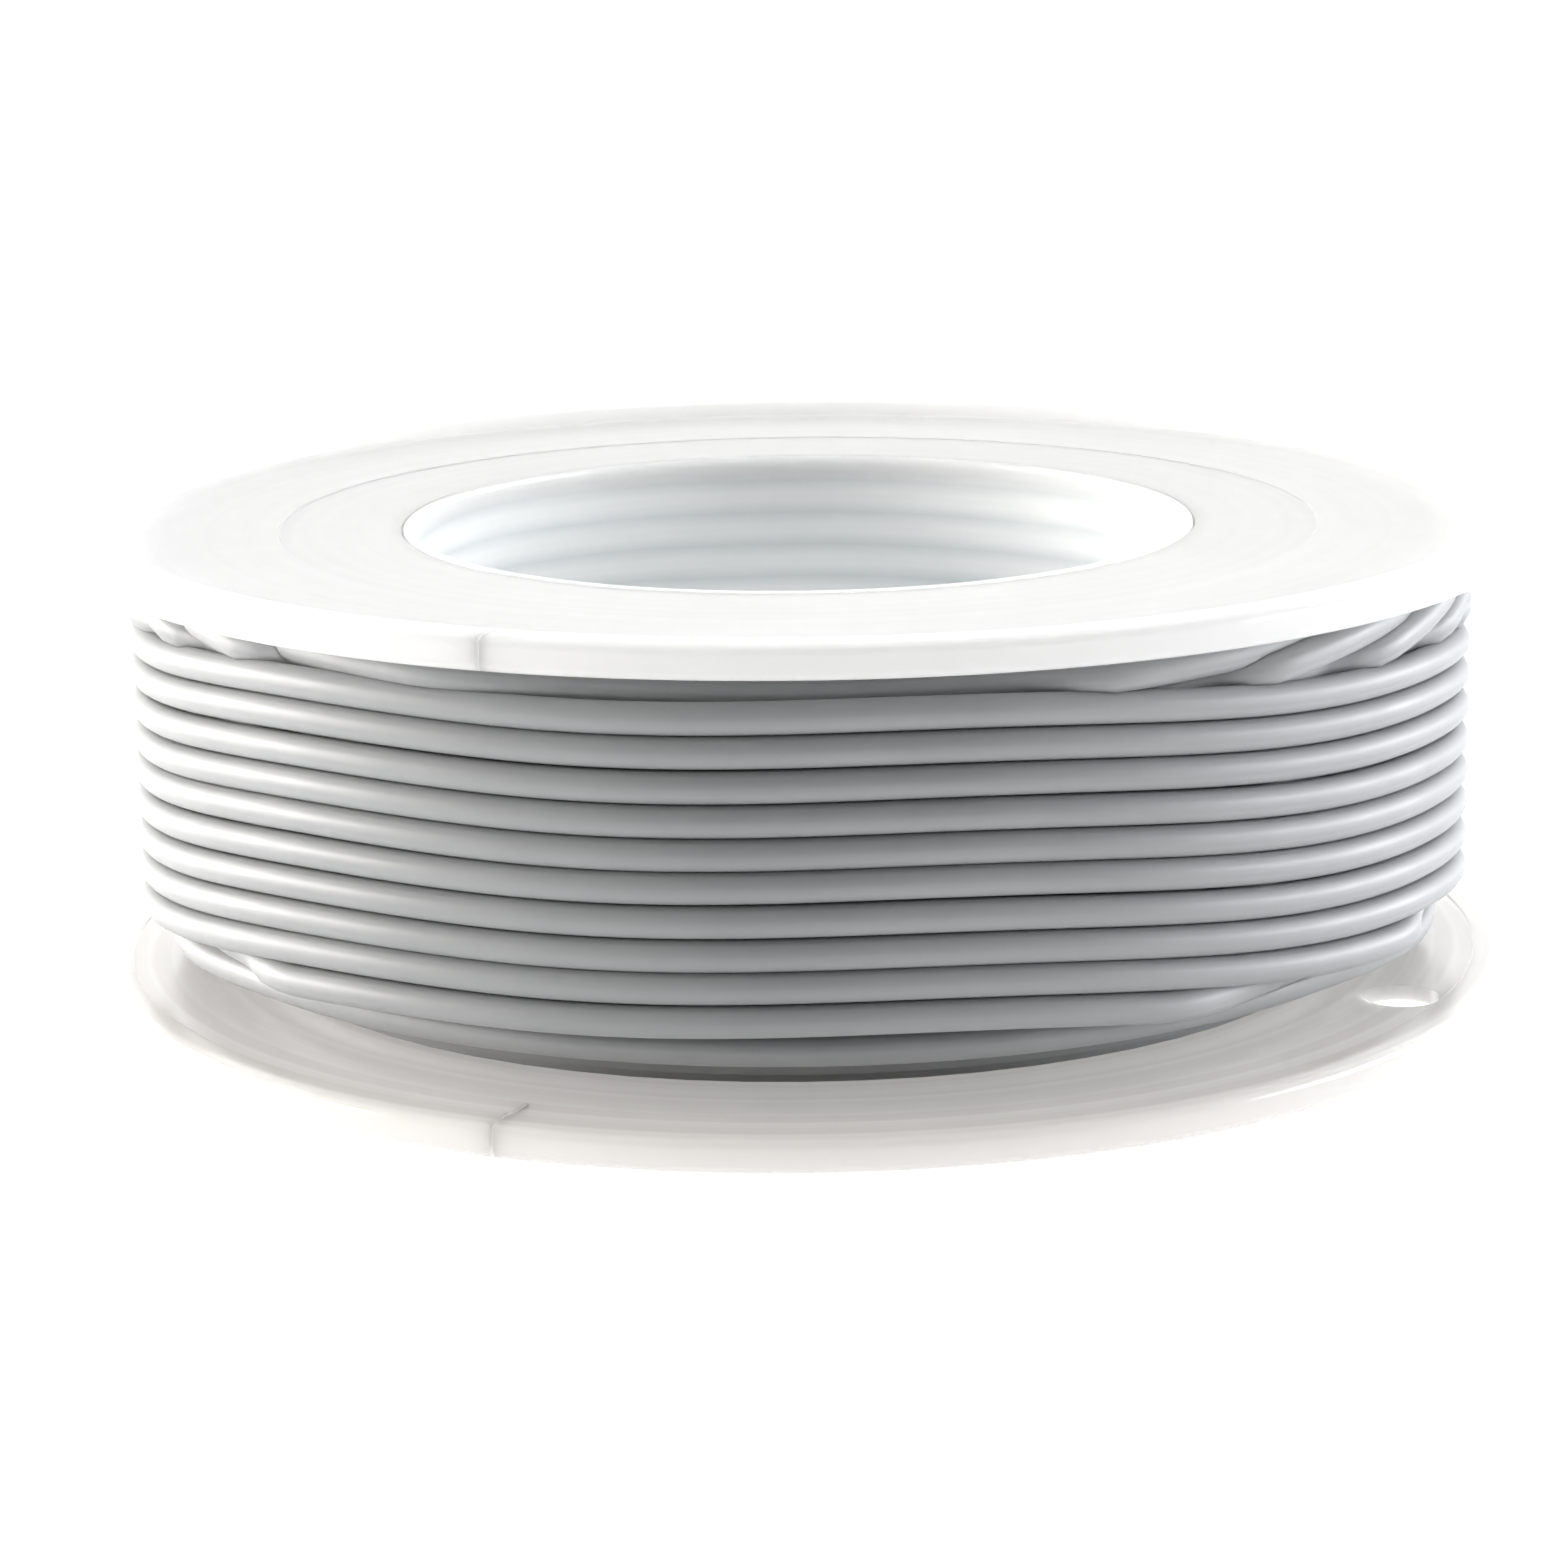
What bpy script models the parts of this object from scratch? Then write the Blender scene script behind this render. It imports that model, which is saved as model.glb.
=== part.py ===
"""A small reel of light grey hook-up wire, lying on its lower flange.

The spool is moulded in milky plastic: a body with the lower flange and the hub, and an upper
flange that is fitted over the hub's lip. The wire is one continuous length, wound in layers,
and stands here as one turned solid whose turns show on its side and its ends.
The frame has its origin on the level floor, at the centre of the bore, with +Z up the axis.
"""

import math

import bmesh
import bpy

MM = 0.001

# Spool
SPOOL_HEIGHT = 22.1 * MM
FLANGE_RADIUS = 33.6 * MM
RIM_THICKNESS = 1.5 * MM
RIM_WIDTH = 1.8 * MM
RIM_BEVEL = 0.25 * MM
RIM_ROUNDING = 0.45 * MM
WEB_RECESS = 0.74 * MM
RING_RADIUS = 24.2 * MM
RING_STEP = 0.12 * MM
BORE_RADIUS = 18.0 * MM
HUB_WALL = 1.7 * MM
LIP_WALL = 0.5 * MM
LIP_ROUNDING = 0.2 * MM
JOINT_GAP = 0.3 * MM

# Slit in each flange's rim, where a wire end is tucked in
SLIT_AZIMUTH = math.radians(-112.8)
SLIT_WIDTH = 0.45 * MM
SLIT_DEPTH = 3.5 * MM

# Hole through the lower flange, where the wire starts
START_HOLE_AZIMUTH = math.radians(-25.9)
START_HOLE_INSET = 3.6 * MM
START_HOLE_RADIUS = 1.75 * MM

# Wire, as it is wound
WIRE_DIAMETER = 1.40 * MM
TURN_PITCH = 1.42 * MM
LAYERS = 9
LAYER_PITCH = 1.29 * MM
SEAT_GAP = 0.3 * MM
FLAT_LAYERS = 4
SHOULDER_STEP = 0.26 * MM
OUTER_LAYER_DROP = 0.8 * MM
BARED_TURNS = 2
GROOVE_ANGLE = math.radians(60)

# Fineness of the round shapes
SPOOL_SEGMENTS = 60
WINDING_SEGMENTS = 48
ROUNDING_STEPS = 3
TURN_STEPS = 3
END_TURN_STEPS = 5
CUTTER_SIDES = 24
CUTTER_OVERRUN = 1.0 * MM
SHARP_ANGLE = math.radians(35)

# Places that follow from the sizes above
LOWER_FACE = RIM_THICKNESS
UPPER_FACE = SPOOL_HEIGHT - RIM_THICKNESS
HUB_RADIUS = BORE_RADIUS + HUB_WALL
LIP_RADIUS = BORE_RADIUS + LIP_WALL
WINDING_BOTTOM = LOWER_FACE + SEAT_GAP
WINDING_TOP = UPPER_FACE - SEAT_GAP
WINDING_BORE_RADIUS = HUB_RADIUS + SEAT_GAP


def arc(centre_r, centre_z, radius, start, end, steps):
    """Points of an arc in the profile plane, both ends included."""
    points = []
    for step in range(steps + 1):
        angle = start + (end - start) * step / steps
        points.append((centre_r + radius * math.cos(angle), centre_z + radius * math.sin(angle)))
    return points


def flange_outside():
    """The flange's outer face and rim, as radius and depth below the rim's outer face.

    It starts beside the bore and ends on the inner face, at the rim's rounded corner.
    """
    rim_inner_radius = FLANGE_RADIUS - RIM_WIDTH
    corner = FLANGE_RADIUS - RIM_ROUNDING
    points = [
        (RING_RADIUS, WEB_RECESS + RING_STEP),
        (RING_RADIUS + RING_STEP, WEB_RECESS),
        (rim_inner_radius - WEB_RECESS / 2, WEB_RECESS),
        (rim_inner_radius, RIM_BEVEL),
        (rim_inner_radius + RIM_BEVEL, 0),
    ]
    points += arc(corner, RIM_ROUNDING, RIM_ROUNDING, -math.pi / 2, 0, ROUNDING_STEPS)
    points += arc(corner, RIM_THICKNESS - RIM_ROUNDING, RIM_ROUNDING, 0, math.pi / 2, ROUNDING_STEPS)
    return points


def spool_body_profile():
    """The lower flange, the hub and its lip, moulded as one."""
    shoulder = UPPER_FACE - SEAT_GAP
    lip_top = SPOOL_HEIGHT - WEB_RECESS
    points = [(BORE_RADIUS, WEB_RECESS + RING_STEP)]
    points += flange_outside()
    points += [(HUB_RADIUS, LOWER_FACE), (HUB_RADIUS, shoulder), (LIP_RADIUS, shoulder)]
    points += arc(
        LIP_RADIUS - LIP_ROUNDING, lip_top - LIP_ROUNDING, LIP_ROUNDING, 0, math.pi / 2, ROUNDING_STEPS
    )
    points += arc(
        BORE_RADIUS + LIP_ROUNDING, lip_top - LIP_ROUNDING, LIP_ROUNDING, math.pi / 2, math.pi, ROUNDING_STEPS
    )
    return points


def upper_flange_profile():
    """The upper flange, as depth below its rim's outer face, with its hole around the hub's lip."""
    hole_radius = LIP_RADIUS + JOINT_GAP
    points = [(hole_radius, WEB_RECESS + RING_STEP)]
    points += flange_outside()
    points.append((hole_radius, RIM_THICKNESS))
    return [(radius, -depth) for radius, depth in points]


def layer_centre(layer):
    """Radius of the middle of the wire in a layer, counted from 1 at the hub."""
    return HUB_RADIUS + WIRE_DIAMETER / 2 + (layer - 1) * LAYER_PITCH


def layer_bottom(layer):
    """Height of a layer's lowest point: the outer layers stop short of the lower flange."""
    return WINDING_BOTTOM + SHOULDER_STEP * max(0, layer - FLAT_LAYERS)


def bared_turns():
    """Heights of the turns that the layer under the outer one shows below it, top first."""
    lowest = layer_bottom(LAYERS - 1) + WIRE_DIAMETER / 2
    return [lowest + TURN_PITCH * turn for turn in reversed(range(BARED_TURNS))]


def outer_turns():
    """Heights of the outer layer's turns, top first, down to the turns that it leaves bare."""
    top = WINDING_TOP - OUTER_LAYER_DROP
    count = int((top - bared_turns()[0]) / TURN_PITCH)
    return [top - WIRE_DIAMETER / 2 - TURN_PITCH * turn for turn in range(count)]


def bore_turns():
    """Heights of the innermost layer's turns, which show on the winding's bore, lowest first."""
    count = int((WINDING_TOP - WINDING_BOTTOM) / TURN_PITCH)
    pitch = (WINDING_TOP - WINDING_BOTTOM) / count
    return [WINDING_BOTTOM + pitch * (turn + 0.5) for turn in range(count)]


def turn_bulge(centre_r, centre_z, is_first, is_last):
    """The bulge of one turn, between its grooves. A layer's end turns go on round to the next layer."""
    start = math.pi - GROOVE_ANGLE if is_first else GROOVE_ANGLE
    end = GROOVE_ANGLE - math.pi if is_last else -GROOVE_ANGLE
    steps = END_TURN_STEPS if is_first or is_last else TURN_STEPS
    return arc(centre_r, centre_z, WIRE_DIAMETER / 2, start, end, steps)


def winding_profile():
    """The wound wire: turns in its bore, rings on its upper end, turns down its side, rings below."""
    radius = WIRE_DIAMETER / 2
    points = []
    for height in bore_turns():
        points += arc(
            WINDING_BORE_RADIUS + radius, height, radius, math.pi + GROOVE_ANGLE, math.pi - GROOVE_ANGLE,
            TURN_STEPS,
        )
    for layer in range(2, LAYERS):
        centre = layer_centre(layer)
        points.append((centre - LAYER_PITCH / 2, WINDING_TOP - radius / 2))
        points.append((centre, WINDING_TOP))
    outer = outer_turns()
    for height in outer:
        points += turn_bulge(layer_centre(LAYERS), height, height == outer[0], height == outer[-1])
    for height in bared_turns():
        points += turn_bulge(layer_centre(LAYERS - 1), height, False, False)
    points.append((layer_centre(LAYERS - 1), layer_bottom(LAYERS - 1)))
    for layer in range(LAYERS - 2, 1, -1):
        centre = layer_centre(layer)
        points.append((centre + LAYER_PITCH / 2, layer_bottom(layer) + radius / 2))
        points.append((centre, layer_bottom(layer)))
    return points


def principled(name, colour, roughness, transmission=0.0):
    """A plain material with the part's colour."""
    material = bpy.data.materials.new(name)
    material.use_nodes = True
    shader = material.node_tree.nodes["Principled BSDF"]
    shader.inputs["Base Color"].default_value = (*colour, 1)
    shader.inputs["Roughness"].default_value = roughness
    shader.inputs["Metallic"].default_value = 0.0
    shader.inputs["Transmission Weight"].default_value = transmission
    return material


def add_object(name, mesh, parent):
    """Put a mesh in the scene, under the reel's empty."""
    made = bpy.data.objects.new(name, mesh)
    bpy.context.scene.collection.objects.link(made)
    made.parent = parent
    return made


def turned(name, profile, segments, material, parent):
    """A solid made by spinning a closed profile of radius and height about Z."""
    bm = bmesh.new()
    verts = [bm.verts.new((radius, 0, height)) for radius, height in profile]
    edges = [bm.edges.new((verts[i - 1], verts[i])) for i in range(len(verts))]
    bmesh.ops.spin(
        bm, geom=verts + edges, cent=(0, 0, 0), axis=(0, 0, 1), angle=2 * math.pi, steps=segments,
        use_merge=True,
    )
    bmesh.ops.remove_doubles(bm, verts=bm.verts, dist=MM / 1000)
    bmesh.ops.recalc_face_normals(bm, faces=bm.faces)
    mesh = bpy.data.meshes.new(name)
    bm.to_mesh(mesh)
    bm.free()
    mesh.materials.append(material)
    mesh.shade_smooth()
    mesh.set_sharp_from_angle(angle=SHARP_ANGLE)
    return add_object(name, mesh, parent)


def cut(target, cutter):
    """Take a hidden cutter out of a target."""
    cutter.hide_render = True
    cutter.hide_viewport = False
    cutter.display_type = "WIRE"
    modifier = target.modifiers.new(cutter.name, "BOOLEAN")
    modifier.operation = "DIFFERENCE"
    modifier.solver = "EXACT"
    modifier.object = cutter


def cut_slit(target, parent):
    """Saw the slit into a flange's rim, through its whole thickness."""
    length = SLIT_DEPTH + CUTTER_OVERRUN
    middle = FLANGE_RADIUS - SLIT_DEPTH + length / 2
    bm = bmesh.new()
    bmesh.ops.create_cube(bm, size=1)
    bmesh.ops.scale(bm, verts=bm.verts, vec=(length, SLIT_WIDTH, RIM_THICKNESS + 2 * CUTTER_OVERRUN))
    mesh = bpy.data.meshes.new(target.name + "_slit")
    bm.to_mesh(mesh)
    bm.free()
    cutter = add_object(target.name + "_slit", mesh, parent)
    inner_face = LOWER_FACE if target.location.z == 0 else UPPER_FACE
    outer_face = target.location.z
    cutter.location = (
        middle * math.cos(SLIT_AZIMUTH),
        middle * math.sin(SLIT_AZIMUTH),
        (inner_face + outer_face) / 2,
    )
    cutter.rotation_euler = (0, 0, SLIT_AZIMUTH)
    cut(target, cutter)


def cut_start_hole(target, parent):
    """Drill the start hole through the lower flange's web."""
    bm = bmesh.new()
    bmesh.ops.create_cone(
        bm, cap_ends=True, segments=CUTTER_SIDES, radius1=START_HOLE_RADIUS, radius2=START_HOLE_RADIUS,
        depth=RIM_THICKNESS + 2 * CUTTER_OVERRUN,
    )
    mesh = bpy.data.meshes.new(target.name + "_start_hole")
    bm.to_mesh(mesh)
    bm.free()
    cutter = add_object(target.name + "_start_hole", mesh, parent)
    circle_radius = FLANGE_RADIUS - START_HOLE_INSET
    cutter.location = (
        circle_radius * math.cos(START_HOLE_AZIMUTH),
        circle_radius * math.sin(START_HOLE_AZIMUTH),
        LOWER_FACE / 2,
    )
    cut(target, cutter)


def clear_scene():
    """Remove every object that the file opened with."""
    for old in list(bpy.data.objects):
        bpy.data.objects.remove(old, do_unlink=True)


def main():
    """Build the reel."""
    clear_scene()
    reel = bpy.data.objects.new("reel", None)
    bpy.context.scene.collection.objects.link(reel)

    milky_plastic = principled("spool_plastic", (0.90, 0.91, 0.90), 0.25, 0.3)
    grey_insulation = principled("wire_insulation", (0.53, 0.55, 0.57), 0.42)

    spool_body = turned("spool_body", spool_body_profile(), SPOOL_SEGMENTS, milky_plastic, reel)
    cut_slit(spool_body, reel)
    cut_start_hole(spool_body, reel)

    upper_flange = turned("upper_flange", upper_flange_profile(), SPOOL_SEGMENTS, milky_plastic, reel)
    upper_flange.location = (0, 0, SPOOL_HEIGHT)
    cut_slit(upper_flange, reel)

    turned("wire_winding", winding_profile(), WINDING_SEGMENTS, grey_insulation, reel)


main()
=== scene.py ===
import math

import bmesh
import bpy
import numpy as np
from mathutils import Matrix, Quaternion, Vector


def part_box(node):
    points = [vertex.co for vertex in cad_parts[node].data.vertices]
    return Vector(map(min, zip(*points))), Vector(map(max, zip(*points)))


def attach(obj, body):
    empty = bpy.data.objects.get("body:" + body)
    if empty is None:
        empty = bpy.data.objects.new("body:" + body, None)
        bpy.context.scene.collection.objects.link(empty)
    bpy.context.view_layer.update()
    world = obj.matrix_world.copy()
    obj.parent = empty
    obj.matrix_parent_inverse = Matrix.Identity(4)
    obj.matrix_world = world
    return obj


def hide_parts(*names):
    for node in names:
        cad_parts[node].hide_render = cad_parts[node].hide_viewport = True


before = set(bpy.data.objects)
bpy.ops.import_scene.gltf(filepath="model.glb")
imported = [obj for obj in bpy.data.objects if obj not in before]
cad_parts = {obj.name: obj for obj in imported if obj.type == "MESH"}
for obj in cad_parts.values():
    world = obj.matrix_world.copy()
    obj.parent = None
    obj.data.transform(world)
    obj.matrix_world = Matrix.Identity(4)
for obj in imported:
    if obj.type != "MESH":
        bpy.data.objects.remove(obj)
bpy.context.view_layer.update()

MM = 0.001
TURN = 2 * math.pi

# Sizes read from the frame, in millimetres
SPOOL_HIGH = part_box("spool_body")[1] / MM
FLANGE_LOW, FLANGE_HIGH = [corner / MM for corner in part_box("upper_flange")]
WINDING_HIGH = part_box("wire_winding")[1] / MM
SPOOL_HEIGHT = FLANGE_HIGH.z
FLANGE_RADIUS = FLANGE_HIGH.x
RIM_THICKNESS = FLANGE_HIGH.z - FLANGE_LOW.z
LIP_TOP = SPOOL_HIGH.z
WEB_RECESS = SPOOL_HEIGHT - LIP_TOP

# Spool details, in millimetres
BORE_RADIUS = 18.0
HUB_RADIUS = 19.7
LIP_RADIUS = 18.5
JOINT_GAP = 0.07
SHOULDER_DROP = 0.3
RIM_WIDTH = 1.8
RIM_BEVEL = 0.25
RIM_ROUNDING = 0.45
INNER_RIM_STEP = 0.08
RING_RADIUS = 24.2
RING_STEP = 0.06
STEP_FILLET = 0.05
JOINT_FILLET = 0.1
EDGE_FILLET = 0.2
LIP_FILLET = 0.25
HUB_FILLET = 0.3
SLIT_AZIMUTH = math.radians(-112.8)
SLIT_WIDTH = 0.15
SLIT_DEPTH = 3.5
START_HOLE_AZIMUTH = math.radians(-25.9)
START_HOLE_INSET = 3.6
START_HOLE_RADIUS = 1.75

# How the spool's meshes are made; the cutters' heights are in millimetres
SPOOL_SEGMENTS = 256
SPOOL_CREASE = math.radians(40)
FILLET_STEPS = 6
FILLET_SHARE = 0.49
CUTTER_SIDES = 64
SLIT_CUTTER_HEIGHT = 3 * RIM_THICKNESS
HOLE_CUTTER_HEIGHT = 4 * RIM_THICKNESS

# The wire, its turns and their places, in millimetres
WIRE_RADIUS = 0.7
TURN_PITCH = 1.42
OUTER_RADIUS = WINDING_HIGH.x - WIRE_RADIUS
UNDER_RADIUS = OUTER_RADIUS - 2 * WIRE_RADIUS
INNERMOST_RADIUS = HUB_RADIUS + WIRE_RADIUS
TOP_CENTRE = WINDING_HIGH.z - WIRE_RADIUS
BOTTOM_CENTRE = RIM_THICKNESS + WIRE_RADIUS
FIRST_TURN_HEIGHT = 18.54
LAST_TURN_HEIGHT = 4.95
OUTER_SAG = 2.3
OUTER_SPREAD = 0.079
WINDING_TILT = 0.28
WAVE_HEIGHT = 0.18
WAVES = 6
DIVE_STEP = 0.65
DIVE_STEP_CHANGE = 0.3
DIVE_LENGTH = 0.5
TAIL_DEPTH = 2.8
LOWEST_STRAND_HEIGHT = 4.05
LOWEST_STRAND_SAG = 0.9
STRAND_TUCK_DEPTH = 1.3
UNDER_START_HEIGHT = 6.3
UNDER_RISE = 4.95
OUT_CLEARANCE = 0.75
OUT_LENGTH = 0.6
TOP_EASE = 0.2
TOP_CONTACT = 0.1
INNERMOST_TOP_HEIGHT = 19.02
INNERMOST_PITCH = 1.6
INNERMOST_UNEVENNESS = 0.03
INNER_TOP_CENTRE = TOP_CENTRE - TURN_PITCH
INNER_LOOSENESS = 0.01
UNEVENNESS = 0.04
LOOSENESS = 0.02

# Angles along the wire, in radians: 0 is the front, and they grow to the right and on round
TAIL_LENGTH = 0.5
BEND_LENGTH = 0.5
STRAND_START = -math.pi - 0.25
STRAND_END = math.pi + 0.1
STRAND_TUCK_END = -math.pi + 0.2
STRAND_TUCK_LENGTH = 0.45
STRAND_SAG_START = 0.85
STRAND_SAG_LENGTH = 0.6
UNDER_START = -1.2
INNER_END_GAP = 0.02

# How many turns and layers there are, and the share of a turn that a hidden turn takes to step up
OUTER_TURNS = 9.28
UNDER_TURNS = 9.2
INNERMOST_TURNS = 10
INNER_LAYERS = 7
FLAT_LAYERS = 5
STEP_UP_SHARE = 0.1

# How the wire's meshes are made, and the waves of its unevenness: height, rate and phase
TURN_SEGMENTS = 160
INNERMOST_SEGMENTS = 96
INNER_SEGMENTS = 64
WIRE_CREASE = math.radians(60)
SEED_PHASE = 1.7
UNEVEN_WAVES = ((0.5, 0.731, 1), (0.3, 2.393, 2.1), (0.2, 5.171, 0.6))

# Looks of the wire and the plastic. Lengths are in millimetres, and clearness is from 0 to 1. The
# bands are painted shade of the turns of wire behind the hub's wall, whose skin ends between two
# depths.
WIRE_SCATTER = 0.8
WIRE_ROUGHNESS = (0.44, 0.54)
PLASTIC_SCATTER = 4
PLASTIC_ROUGHNESS = (0.16, 0.22)
PLASTIC_CLEARNESS = 0.3
BAND_PITCH = 1.6
BAND_HEIGHT = 18.52
BAND_WIDTH = 0.6
BAND_DRIFT = 0.5
WALL_SKIN = (0.05, 0.2)
FOOT_WIDTH = 1

# Where the values of a noise mostly lie
NOISE_SPAN = (0.3, 0.7)

# Colours, the darker one first where there are two
WIRE_COLOURS = ((0.267, 0.272, 0.279), (0.303, 0.309, 0.316))
UPPER_FLANGE_COLOURS = ((0.772, 0.772, 0.77), (0.794, 0.794, 0.792))
# The lower flange's colours are painted shade: a darker, warmer copy of the same milky plastic.
LOWER_FLANGE_SHADED_COLOURS = ((0.67, 0.65, 0.63), (0.75, 0.73, 0.71))
HUB_COLOUR = (0.82, 0.82, 0.815)
# Painted shade on the hub's wall: the wires behind it lighter, and the gaps between them darker.
SHOW_THROUGH_SHADE_COLOURS = ((0.64, 0.67, 0.68), (0.85, 0.87, 0.875))
FLOOR_COLOUR = (0.3, 0.3, 0.3)
WHITE = (1, 1, 1)

# Floor and lights, in metres and watts. The surround brightens from the camera's side to the back.
FLOOR_SIZE = 4
FLOOR_GLOW = 1.15
LIGHTS = (
    ("left_light", (-0.45, 0.08, 0.085), (0.5, 0.16), 4.8, (1, 0.97, 0.92)),
    ("right_light", (0.45, 0.08, 0.085), (0.5, 0.16), 2.7, (0.96, 0.98, 1)),
    ("top_light", (0, 0, 0.48), (0.5, 0.5), 1.0, WHITE),
)
LIGHT_TARGET = (0, 0, 0.01)
SURROUND_SPAN = (-0.4, 0.5)
SURROUND_STRENGTH = (0.14, 1.45)

# The camera that was fitted to the photograph: its pixels, millimetres and radians
PHOTO_WIDTH = 1568
FOCAL_LENGTH = 4531.8
CENTRE_SHIFT = -17.2
SENSOR_WIDTH = 36
CAMERA_PLACE = (0, -210, 58.32)
CAMERA_PITCH = 0.2330
CAMERA_ROLL = -0.012
CAMERA_CLIP = (10, 20000)


def smooth(value):
    """A smooth step from 0 to 1 as value goes from 0 to 1."""
    t = np.clip(value, 0, 1)
    return t * t * (3 - 2 * t)


def soft_excess(value, softness):
    """How far value is above 0, rounded off near 0."""
    return softness * np.logaddexp(0, value / softness)


def wobble(angle, seed):
    """A slow unevenness along a wire, between about -1 and 1."""
    shift = SEED_PHASE * seed
    return sum(
        height * np.sin(rate * angle + phase * shift) for height, rate, phase in UNEVEN_WAVES
    )


def filleted(corners):
    """A profile's points, from corners given as radius, height and fillet radius."""
    points = []
    for i, (r, z, fillet) in enumerate(corners):
        corner = Vector((r, z))
        if fillet == 0:
            points.append(corner)
            continue
        before = Vector(corners[i - 1][:2]) - corner
        after = Vector(corners[(i + 1) % len(corners)][:2]) - corner
        half = before.angle(after) / 2
        longest = (FILLET_SHARE * before.length, FILLET_SHARE * after.length)
        reach = min(fillet / math.tan(half), *longest)
        start = corner + before.normalized() * reach
        end = corner + after.normalized() * reach
        for step in range(FILLET_STEPS + 1):
            t = step / FILLET_STEPS
            points.append(start * (1 - t) ** 2 + corner * (2 * t * (1 - t)) + end * t * t)
    return points


def flange_outside():
    """The flange's outer face and rim, as corners of radius, depth and fillet."""
    rim_inner = FLANGE_RADIUS - RIM_WIDTH
    return [
        (RING_RADIUS, WEB_RECESS + RING_STEP, STEP_FILLET),
        (RING_RADIUS + RING_STEP, WEB_RECESS, STEP_FILLET),
        (rim_inner - WEB_RECESS / 2, WEB_RECESS, EDGE_FILLET),
        (rim_inner, 0, RIM_BEVEL),
        (FLANGE_RADIUS, 0, RIM_ROUNDING),
        (FLANGE_RADIUS, RIM_THICKNESS, RIM_ROUNDING),
        (rim_inner + INNER_RIM_STEP, RIM_THICKNESS, STEP_FILLET),
        (rim_inner, RIM_THICKNESS - INNER_RIM_STEP, STEP_FILLET),
    ]


def spool_body_corners():
    """The lower flange, the hub and its lip."""
    inner_face = RIM_THICKNESS - INNER_RIM_STEP
    shoulder = SPOOL_HEIGHT - RIM_THICKNESS - SHOULDER_DROP
    return [
        (BORE_RADIUS, WEB_RECESS + RING_STEP, EDGE_FILLET),
        *flange_outside(),
        (HUB_RADIUS, inner_face, HUB_FILLET),
        (HUB_RADIUS, shoulder, JOINT_FILLET),
        (LIP_RADIUS, shoulder, 0),
        (LIP_RADIUS, LIP_TOP, EDGE_FILLET),
        (BORE_RADIUS, LIP_TOP, LIP_FILLET),
    ]


def upper_flange_corners():
    """The upper flange, with its hole round the hub's lip."""
    hole = LIP_RADIUS + JOINT_GAP
    depths = [
        (hole, WEB_RECESS + RING_STEP, JOINT_FILLET),
        *flange_outside(),
        (hole, RIM_THICKNESS - INNER_RIM_STEP, JOINT_FILLET),
    ]
    return [(r, SPOOL_HEIGHT - depth, fillet) for r, depth, fillet in depths]


def add_object(name, data):
    """An object in the scene."""
    thing = bpy.data.objects.new(name, data)
    bpy.context.scene.collection.objects.link(thing)
    return thing


def mesh_from(name, bm):
    """A mesh made from a bmesh, which is freed."""
    mesh = bpy.data.meshes.new(name)
    bm.to_mesh(mesh)
    bm.free()
    return mesh


def add_piece(name, mesh, material, node):
    """A piece of the reel that stands for a node of the frame."""
    piece = add_object(name, mesh)
    mesh.materials.clear()
    mesh.materials.append(material)
    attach(piece, "root")
    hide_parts(node)


def lathe(name, corners):
    """A mesh made by spinning a closed profile about Z."""
    bm = bmesh.new()
    verts = [bm.verts.new((r * MM, 0, z * MM)) for r, z in filleted(corners)]
    edges = [bm.edges.new((verts[i - 1], verts[i])) for i in range(len(verts))]
    bmesh.ops.spin(
        bm, geom=verts + edges, cent=(0, 0, 0), axis=(0, 0, 1), angle=TURN, steps=SPOOL_SEGMENTS,
        use_merge=True,
    )
    bmesh.ops.remove_doubles(bm, verts=bm.verts, dist=MM / 1000)
    bmesh.ops.recalc_face_normals(bm, faces=bm.faces)
    return mesh_from(name, bm)


def add_cutter(name, bm, azimuth):
    """A cutter turned to its azimuth."""
    cutter = add_object(name, mesh_from(name, bm))
    cutter.rotation_euler = (0, 0, azimuth)
    return cutter


def slit_cutter(height):
    """A thin box that saws the slit into a flange's rim."""
    bm = bmesh.new()
    bmesh.ops.create_cube(bm, size=1)
    size = (2 * SLIT_DEPTH * MM, SLIT_WIDTH * MM, SLIT_CUTTER_HEIGHT * MM)
    bmesh.ops.scale(bm, verts=bm.verts, vec=size)
    bmesh.ops.translate(bm, verts=bm.verts, vec=(FLANGE_RADIUS * MM, 0, height * MM))
    return add_cutter("slit_cutter", bm, SLIT_AZIMUTH)


def hole_cutter():
    """A round bar that drills the start hole through the lower flange."""
    bm = bmesh.new()
    radius = START_HOLE_RADIUS * MM
    bmesh.ops.create_cone(
        bm, cap_ends=True, segments=CUTTER_SIDES, radius1=radius, radius2=radius,
        depth=HOLE_CUTTER_HEIGHT * MM,
    )
    bmesh.ops.translate(bm, verts=bm.verts, vec=((FLANGE_RADIUS - START_HOLE_INSET) * MM, 0, 0))
    return add_cutter("hole_cutter", bm, START_HOLE_AZIMUTH)


def cut(mesh, cutters):
    """The mesh with the cutters taken out of it, smooth but for its real edges."""
    blank = add_object("blank", mesh)
    for cutter in cutters:
        modifier = blank.modifiers.new(cutter.name, "BOOLEAN")
        modifier.operation = "DIFFERENCE"
        modifier.solver = "EXACT"
        modifier.object = cutter
    bpy.context.view_layer.update()
    graph = bpy.context.evaluated_depsgraph_get()
    result = bpy.data.meshes.new_from_object(blank.evaluated_get(graph))
    for scratch in [blank, *cutters]:
        bpy.data.objects.remove(scratch, do_unlink=True)
    result.shade_smooth()
    result.set_sharp_from_angle(angle=SPOOL_CREASE)
    return result


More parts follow.
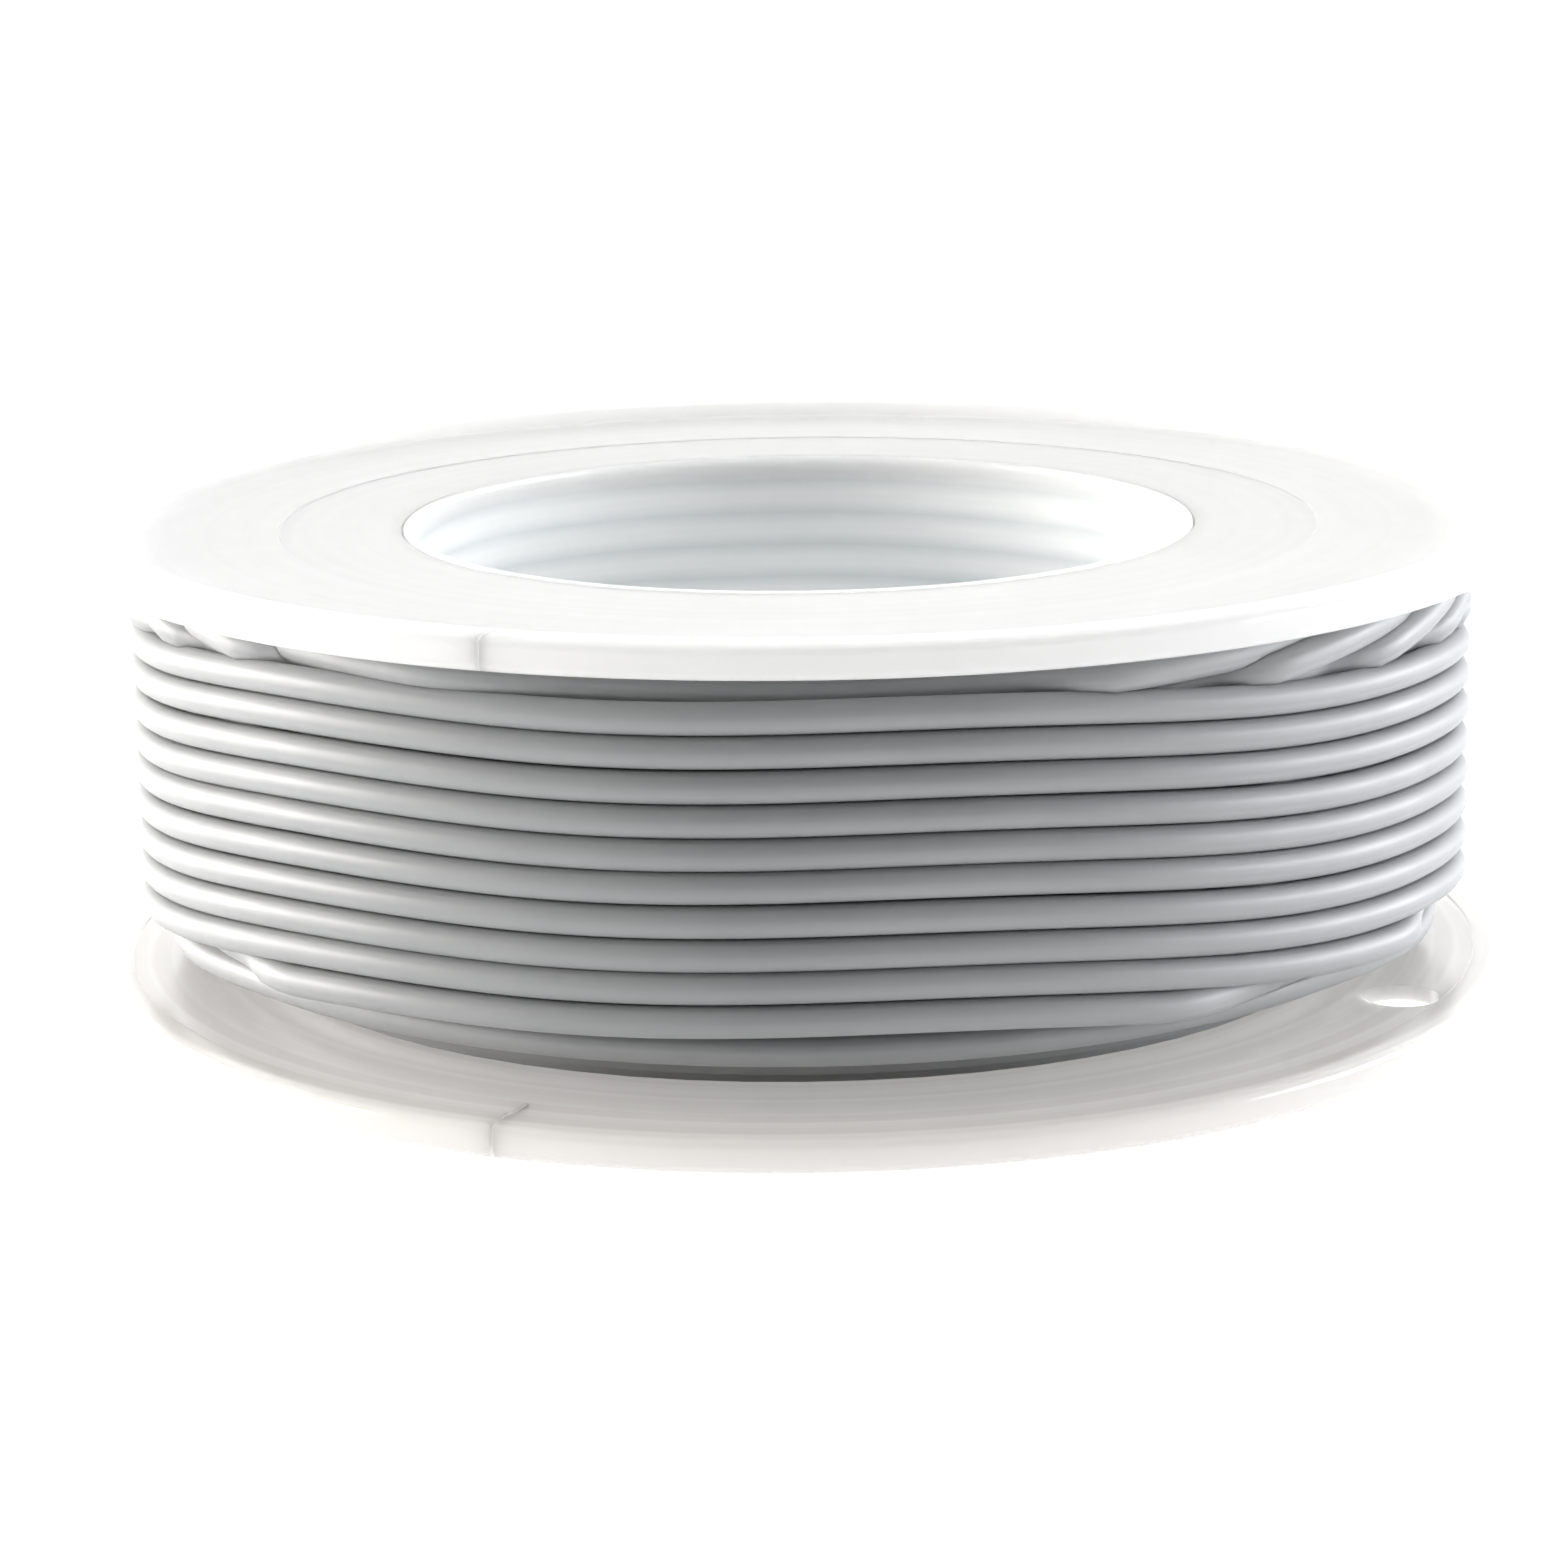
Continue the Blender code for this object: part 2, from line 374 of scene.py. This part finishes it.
def tube(path, sides):
    """Vertices and faces of a wire along a path of points, with both ends closed."""
    tangent = np.gradient(path, axis=0)
    tangent /= np.linalg.norm(tangent, axis=1, keepdims=True)
    outward = path * (1, 1, 0)
    outward -= (outward * tangent).sum(1, keepdims=True) * tangent
    outward /= np.linalg.norm(outward, axis=1, keepdims=True)
    up = np.cross(tangent, outward)
    angles = np.arange(sides) * TURN / sides
    outward_part = np.cos(angles)[None, :, None] * outward[:, None]
    up_part = np.sin(angles)[None, :, None] * up[:, None]
    verts = (path[:, None] + WIRE_RADIUS * (outward_part + up_part)).reshape(-1, 3)
    index = np.arange(len(verts)).reshape(-1, sides)
    beside = np.roll(index, -1, axis=1)
    quads = np.stack([index[:-1], beside[:-1], beside[1:], index[1:]], axis=-1).reshape(-1, 4)
    return verts, quads.tolist(), [index[0].tolist(), index[-1][::-1].tolist()]


def wires_mesh(name, paths, sides):
    """One mesh of several wires, each given by its angles, radii and heights."""
    verts = []
    faces = []
    start = 0
    for angle, radius, height in paths:
        path = np.stack([radius * np.sin(angle), -radius * np.cos(angle), height], axis=1)
        wire_verts, quads, caps = tube(path, sides)
        verts.append(wire_verts)
        faces += [[start + i for i in face] for face in quads + caps]
        start += len(wire_verts)
    mesh = bpy.data.meshes.new(name)
    mesh.from_pydata((np.concatenate(verts) * MM).tolist(), [], faces)
    mesh.shade_smooth()
    bm = bmesh.new()
    bm.from_mesh(mesh)
    bmesh.ops.recalc_face_normals(bm, faces=bm.faces)
    bm.to_mesh(mesh)
    bm.free()
    mesh.set_sharp_from_angle(angle=WIRE_CREASE)
    return mesh


def steps_between(start, end, per_turn):
    """Angles from start to end, close enough for a round turn."""
    return np.linspace(start, end, int((end - start) / TURN * per_turn) + 2)


def wave(azimuth):
    """How far the outer turns, which lie on each other, rise and fall round the reel."""
    return WAVE_HEIGHT * np.sin(WAVES * azimuth)


def first_turn_height(azimuth):
    """Height of the outer layer's first turn at an azimuth between -pi and pi."""
    step_up = TURN_PITCH * smooth((azimuth - (math.pi - BEND_LENGTH)) / BEND_LENGTH)
    level = FIRST_TURN_HEIGHT - TURN_PITCH * azimuth / TURN + wave(azimuth)
    return level - OUTER_SAG * (1 - np.cos(azimuth)) - WINDING_TILT * np.sin(azimuth) + step_up


def outer_turns():
    """The outer layer, which sags towards the back. Where it reaches its lower end it dives under.

    Its start is tucked in at the back, between the layers.
    """
    angle = steps_between(-math.pi - TAIL_LENGTH, OUTER_TURNS * TURN, TURN_SEGMENTS)
    wound = TURN_PITCH * angle / TURN
    spread = 1 + OUTER_SPREAD * np.sin(angle) ** 2 * (wound > 0)
    travel = wound * spread + OUTER_SAG * (1 - np.cos(angle)) + WINDING_TILT * np.sin(angle)
    side = FIRST_TURN_HEIGHT - LAST_TURN_HEIGHT
    dive = DIVE_STEP - DIVE_STEP_CHANGE * np.sin(angle)
    travel = travel + dive * smooth((travel - side) / DIVE_LENGTH)
    inward = OUTER_RADIUS - UNDER_RADIUS
    radius = OUTER_RADIUS - inward * smooth((travel - side) / inward)
    height = FIRST_TURN_HEIGHT - np.minimum(travel, side) + np.maximum(0, travel - side - inward)
    radius -= inward * smooth(1 - (angle + math.pi) / BEND_LENGTH)
    radius -= TAIL_DEPTH * smooth((-math.pi - angle) / TAIL_LENGTH)
    radius -= LOOSENESS + LOOSENESS * wobble(angle, 1)
    height = height + wave(angle) + UNEVENNESS * wobble(angle, 2)
    return angle, radius, height


def lowest_strand():
    """The lowest turn of the layer under the outer one, which shows below it."""
    angle = steps_between(STRAND_START, STRAND_END, TURN_SEGMENTS)
    tuck = STRAND_TUCK_DEPTH * smooth((STRAND_TUCK_END - angle) / STRAND_TUCK_LENGTH)
    sag = LOWEST_STRAND_SAG * smooth((np.abs(angle) - STRAND_SAG_START) / STRAND_SAG_LENGTH)
    radius = UNDER_RADIUS - tuck + LOOSENESS * wobble(angle, 3)
    height = LOWEST_STRAND_HEIGHT - sag + UNEVENNESS * wobble(angle, 4)
    return angle, radius, height


def under_turns():
    """The layer under the outer one, which rises towards the back and comes out above it there."""
    angle = steps_between(UNDER_START, UNDER_TURNS * TURN, TURN_SEGMENTS)
    rise = UNDER_START_HEIGHT + TURN_PITCH * angle / TURN
    rise += UNDER_RISE * (1 - np.cos(angle)) - WINDING_TILT * np.sin(angle)
    azimuth = (angle + math.pi) % TURN - math.pi
    clear = rise - first_turn_height(azimuth)
    out = smooth((clear - OUT_CLEARANCE) / OUT_LENGTH)
    over = soft_excess(rise - TOP_CENTRE, TOP_EASE)
    radius = UNDER_RADIUS + (OUTER_RADIUS - UNDER_RADIUS) * out - over
    radius += LOOSENESS * wobble(angle, 5)
    height = rise - over + UNEVENNESS * wobble(angle, 6) * (over < TOP_CONTACT)
    return angle, radius, np.minimum(height, TOP_CENTRE)


def innermost_turns():
    """The first layer on the hub, wound looser. Its top height is that at the back."""
    angle = steps_between(0, INNERMOST_TURNS * TURN, INNERMOST_SEGMENTS)
    radius = np.full_like(angle, INNERMOST_RADIUS)
    height = INNERMOST_TOP_HEIGHT - INNERMOST_PITCH * (angle / TURN - 0.5)
    height += INNERMOST_UNEVENNESS * wobble(angle, 7)
    return angle, radius, np.minimum(height, TOP_CENTRE)


def inner_layer(layer):
    """One of the layers that the spool and the outer turns hide, counted from the hub."""
    step = (UNDER_RADIUS - 2 * WIRE_RADIUS - INNERMOST_RADIUS) / (INNER_LAYERS - 1)
    bottom = BOTTOM_CENTRE + TURN_PITCH * (layer % 2 / 2 + max(0, layer - FLAT_LAYERS))
    turns = int((INNER_TOP_CENTRE - bottom) / TURN_PITCH) + 1
    angle = steps_between(-math.pi, (turns - 0.5) * TURN - INNER_END_GAP, INNER_SEGMENTS)
    radius = np.full_like(angle, INNERMOST_RADIUS + step * layer)
    radius += INNER_LOOSENESS * wobble(angle, 7 + layer)
    done, part = np.divmod((angle + math.pi) / TURN, 1)
    step_up = smooth((part - (1 - STEP_UP_SHARE)) / STEP_UP_SHARE)
    return angle, radius, bottom + TURN_PITCH * (done + step_up)


def new_material(name):
    """A node material, its node tree and its shader."""
    material = bpy.data.materials.new(name)
    material.use_nodes = True
    return material, material.node_tree, material.node_tree.nodes["Principled BSDF"]


def noise(tree, coordinates, scale, detail):
    """A noise over the object."""
    texture = tree.nodes.new("ShaderNodeTexNoise")
    texture.inputs["Scale"].default_value = scale
    texture.inputs["Detail"].default_value = detail
    tree.links.new(coordinates, texture.inputs["Vector"])
    return texture.outputs["Fac"]


def mapped(tree, source, from_range, to_range):
    """A value carried from one range to another."""
    node = tree.nodes.new("ShaderNodeMapRange")
    ends = ("From Min", "From Max", "To Min", "To Max")
    for end, value in zip(ends, (*from_range, *to_range)):
        node.inputs[end].default_value = value
    tree.links.new(source, node.inputs["Value"])
    return node.outputs["Result"]


def ramp(tree, source, span, colours):
    """A colour that goes from the first to the second as a value crosses a span."""
    node = tree.nodes.new("ShaderNodeValToRGB")
    for stop, position, colour in zip(node.color_ramp.elements, span, colours):
        stop.position = position
        stop.color = (*colour, 1)
    tree.links.new(source, node.inputs["Fac"])
    return node.outputs["Color"]


def mixed(tree, factor, second):
    """A mix of two colours: its first one, which the caller sets, and what comes out."""
    node = tree.nodes.new("ShaderNodeMix")
    node.data_type = "RGBA"
    tree.links.new(factor, node.inputs["Factor"])
    tree.links.new(second, node.inputs["B"])
    return node.inputs["A"], node.outputs["Result"]


def grained(tree, source, distance, strength):
    """A normal with fine relief."""
    node = tree.nodes.new("ShaderNodeBump")
    node.inputs["Distance"].default_value = distance
    node.inputs["Strength"].default_value = strength
    tree.links.new(source, node.inputs["Height"])
    return node.outputs["Normal"]


def set_scattering(shader, ior, length):
    """Let light scatter inside the material over a length in millimetres."""
    shader.inputs["IOR"].default_value = ior
    shader.inputs["Subsurface Weight"].default_value = 1
    shader.inputs["Subsurface Radius"].default_value = (1, 1, 1)
    shader.inputs["Subsurface Scale"].default_value = length * MM


def wire_material():
    """Light grey insulation with a satin sheen."""
    material, tree, shader = new_material("grey_insulation")
    coordinates = tree.nodes.new("ShaderNodeTexCoord").outputs["Object"]
    shade = noise(tree, coordinates, scale=90, detail=3)
    tree.links.new(ramp(tree, shade, NOISE_SPAN, WIRE_COLOURS), shader.inputs["Base Color"])
    smear = noise(tree, coordinates, scale=260, detail=4)
    tree.links.new(mapped(tree, smear, NOISE_SPAN, WIRE_ROUGHNESS), shader.inputs["Roughness"])
    grain = noise(tree, coordinates, scale=1400, detail=2)
    normal = grained(tree, grain, distance=0.00003, strength=0.25)
    tree.links.new(normal, shader.inputs["Normal"])
    set_scattering(shader, ior=1.5, length=WIRE_SCATTER)
    return material


def axis_distance(tree, coordinates):
    """How far a point is from the reel's axis, in metres."""
    flatten = tree.nodes.new("ShaderNodeMapping")
    flatten.inputs["Scale"].default_value = (1, 1, 0)
    length = tree.nodes.new("ShaderNodeVectorMath")
    length.operation = "LENGTH"
    tree.links.new(coordinates, flatten.inputs["Vector"])
    tree.links.new(flatten.outputs["Vector"], length.inputs[0])
    return length.outputs["Value"]


def milky_plastic(name, colours):
    """Milky translucent moulded plastic, slightly glossy, with faint rings about the axis."""
    material, tree, shader = new_material(name)
    coordinates = tree.nodes.new("ShaderNodeTexCoord").outputs["Object"]
    rings = tree.nodes.new("ShaderNodeTexNoise")
    rings.noise_dimensions = "1D"
    rings.inputs["Scale"].default_value = 1100
    rings.inputs["Detail"].default_value = 2
    tree.links.new(axis_distance(tree, coordinates), rings.inputs["W"])
    colour = ramp(tree, rings.outputs["Fac"], NOISE_SPAN, colours)
    tree.links.new(colour, shader.inputs["Base Color"])
    flow = noise(tree, coordinates, scale=180, detail=4)
    tree.links.new(mapped(tree, flow, NOISE_SPAN, PLASTIC_ROUGHNESS), shader.inputs["Roughness"])
    set_scattering(shader, ior=1.45, length=PLASTIC_SCATTER)
    shader.inputs["Transmission Weight"].default_value = PLASTIC_CLEARNESS
    return material


def painted_wire_shade_bands(tree, coordinates):
    """Painted shade on the hub: its colour, with the wires behind the wall painted on and darker
    where the gaps between them would show through.
    """
    lowest = -(BAND_HEIGHT + BAND_DRIFT) * MM
    highest = (BAND_DRIFT - BAND_HEIGHT) * MM
    drift = mapped(tree, noise(tree, coordinates, scale=45, detail=1), (0, 1), (lowest, highest))
    split = tree.nodes.new("ShaderNodeSeparateXYZ")
    tree.links.new(coordinates, split.inputs["Vector"])
    height = tree.nodes.new("ShaderNodeMath")
    height.operation = "ADD"
    tree.links.new(split.outputs["Z"], height.inputs[0])
    tree.links.new(drift, height.inputs[1])
    gap = tree.nodes.new("ShaderNodeMath")
    gap.operation = "PINGPONG"
    gap.inputs[1].default_value = BAND_PITCH / 2 * MM
    tree.links.new(height.outputs["Value"], gap.inputs[0])
    return ramp(
        tree, mapped(tree, gap.outputs["Value"], (0, BAND_WIDTH * MM), (0, 1)), (0, 1), SHOW_THROUGH_SHADE_COLOURS
    )


def spool_body_material():
    """The plastic of the lower flange and of the hub. The lower flange's colour holds painted
    shade, darker and warmer than the hub's, and the hub's wall holds painted shade of the wire
    behind it.
    """
    material = milky_plastic("milky_hub", LOWER_FLANGE_SHADED_COLOURS)
    tree = material.node_tree
    shader = tree.nodes["Principled BSDF"]
    coordinates = tree.nodes.new("ShaderNodeTexCoord").outputs["Object"]
    radius = axis_distance(tree, coordinates)
    # The lower flange's colour, which holds painted shade: darker and warmer than the hub's.
    flange = shader.inputs["Base Color"].links[0].from_socket
    foot = (HUB_RADIUS * MM, (HUB_RADIUS + FOOT_WIDTH) * MM)
    hub, moulding = mixed(tree, mapped(tree, radius, foot, (0, 1)), flange)
    hub.default_value = (*HUB_COLOUR, 1)
    skin = [(BORE_RADIUS + depth) * MM for depth in WALL_SKIN]
    # The bore's skin takes the painted shade of the wires behind the wall and the gaps between
    # them.
    wall, colour = mixed(tree, mapped(tree, radius, skin, (0, 1)), moulding)
    tree.links.new(painted_wire_shade_bands(tree, coordinates), wall)
    tree.links.new(colour, shader.inputs["Base Color"])
    clearness = mapped(tree, radius, skin, (0, PLASTIC_CLEARNESS))
    tree.links.new(clearness, shader.inputs["Transmission Weight"])
    return material


def build_spool():
    """The spool's two mouldings."""
    lower = lathe("spool_body_moulding", spool_body_corners())
    lower = cut(lower, [slit_cutter(0), hole_cutter()])
    add_piece("spool_body_moulding", lower, spool_body_material(), "spool_body")
    upper = lathe("upper_flange_moulding", upper_flange_corners())
    upper = cut(upper, [slit_cutter(SPOOL_HEIGHT)])
    milky = milky_plastic("milky_flange", UPPER_FLANGE_COLOURS)
    add_piece("upper_flange_moulding", upper, milky, "upper_flange")


def build_wire():
    """The wound wire, layer by layer: each piece has its name, its paths and the wire's sides."""
    material = wire_material()
    pieces = (
        ("wire_outer_turns", [outer_turns(), lowest_strand()], 16),
        ("wire_under_turns", [under_turns()], 14),
        ("wire_innermost_turns", [innermost_turns()], 10),
        ("wire_hidden_turns", [inner_layer(layer) for layer in range(1, INNER_LAYERS)], 6),
    )
    for name, paths, sides in pieces:
        mesh = wires_mesh(name, paths, sides)
        add_piece(name, mesh, material, "wire_winding")


def build_stage():
    """A wide pale floor."""
    bm = bmesh.new()
    bmesh.ops.create_grid(bm, x_segments=1, y_segments=1, size=FLOOR_SIZE)
    floor = add_object("floor", mesh_from("floor", bm))
    material, _, shader = new_material("floor_white")
    shader.inputs["Base Color"].default_value = (*FLOOR_COLOUR, 1)
    shader.inputs["Roughness"].default_value = 0.9
    shader.inputs["Specular IOR Level"].default_value = 0.0
    shader.inputs["Emission Color"].default_value = (*WHITE, 1)
    shader.inputs["Emission Strength"].default_value = FLOOR_GLOW
    floor.data.materials.append(material)


def area_light(name, place, size, power, colour):
    """A soft light that faces the reel; its place, width and height are in metres."""
    light = bpy.data.lights.new(name, "AREA")
    light.shape = "RECTANGLE"
    light.size, light.size_y = size
    light.energy = power
    light.color = colour
    lamp = add_object(name, light)
    lamp.location = place
    lamp.rotation_mode = "QUATERNION"
    lamp.rotation_quaternion = (Vector(LIGHT_TARGET) - Vector(place)).to_track_quat("-Z", "Y")


def build_lights():
    """Soft lights low at both sides and above, and a white surround."""
    for light in LIGHTS:
        area_light(*light)
    world = bpy.data.worlds.new("studio")
    world.use_nodes = True
    tree = world.node_tree
    split = tree.nodes.new("ShaderNodeSeparateXYZ")
    direction = tree.nodes.new("ShaderNodeTexCoord").outputs["Generated"]
    tree.links.new(direction, split.inputs["Vector"])
    strength = mapped(tree, split.outputs["Y"], SURROUND_SPAN, SURROUND_STRENGTH)
    background = tree.nodes["Background"]
    tree.links.new(strength, background.inputs["Strength"])
    background.inputs["Color"].default_value = (*WHITE, 1)
    bpy.context.scene.world = world
    bpy.context.scene.view_settings.view_transform = "Standard"


def build_camera():
    """The camera at the photograph's angle."""
    data = bpy.data.cameras.new("camera")
    data.sensor_width = SENSOR_WIDTH
    data.lens = SENSOR_WIDTH * FOCAL_LENGTH / PHOTO_WIDTH
    data.shift_x = CENTRE_SHIFT / PHOTO_WIDTH
    data.clip_start, data.clip_end = [distance * MM for distance in CAMERA_CLIP]
    camera = add_object("camera", data)
    camera.location = Vector(CAMERA_PLACE) * MM
    camera.rotation_mode = "QUATERNION"
    ahead = Vector((0, math.cos(CAMERA_PITCH), -math.sin(CAMERA_PITCH)))
    roll = Quaternion((0, 0, 1), CAMERA_ROLL)
    camera.rotation_quaternion = ahead.to_track_quat("-Z", "Y") @ roll
    bpy.context.scene.camera = camera


build_spool()
build_wire()
build_stage()
build_lights()
build_camera()
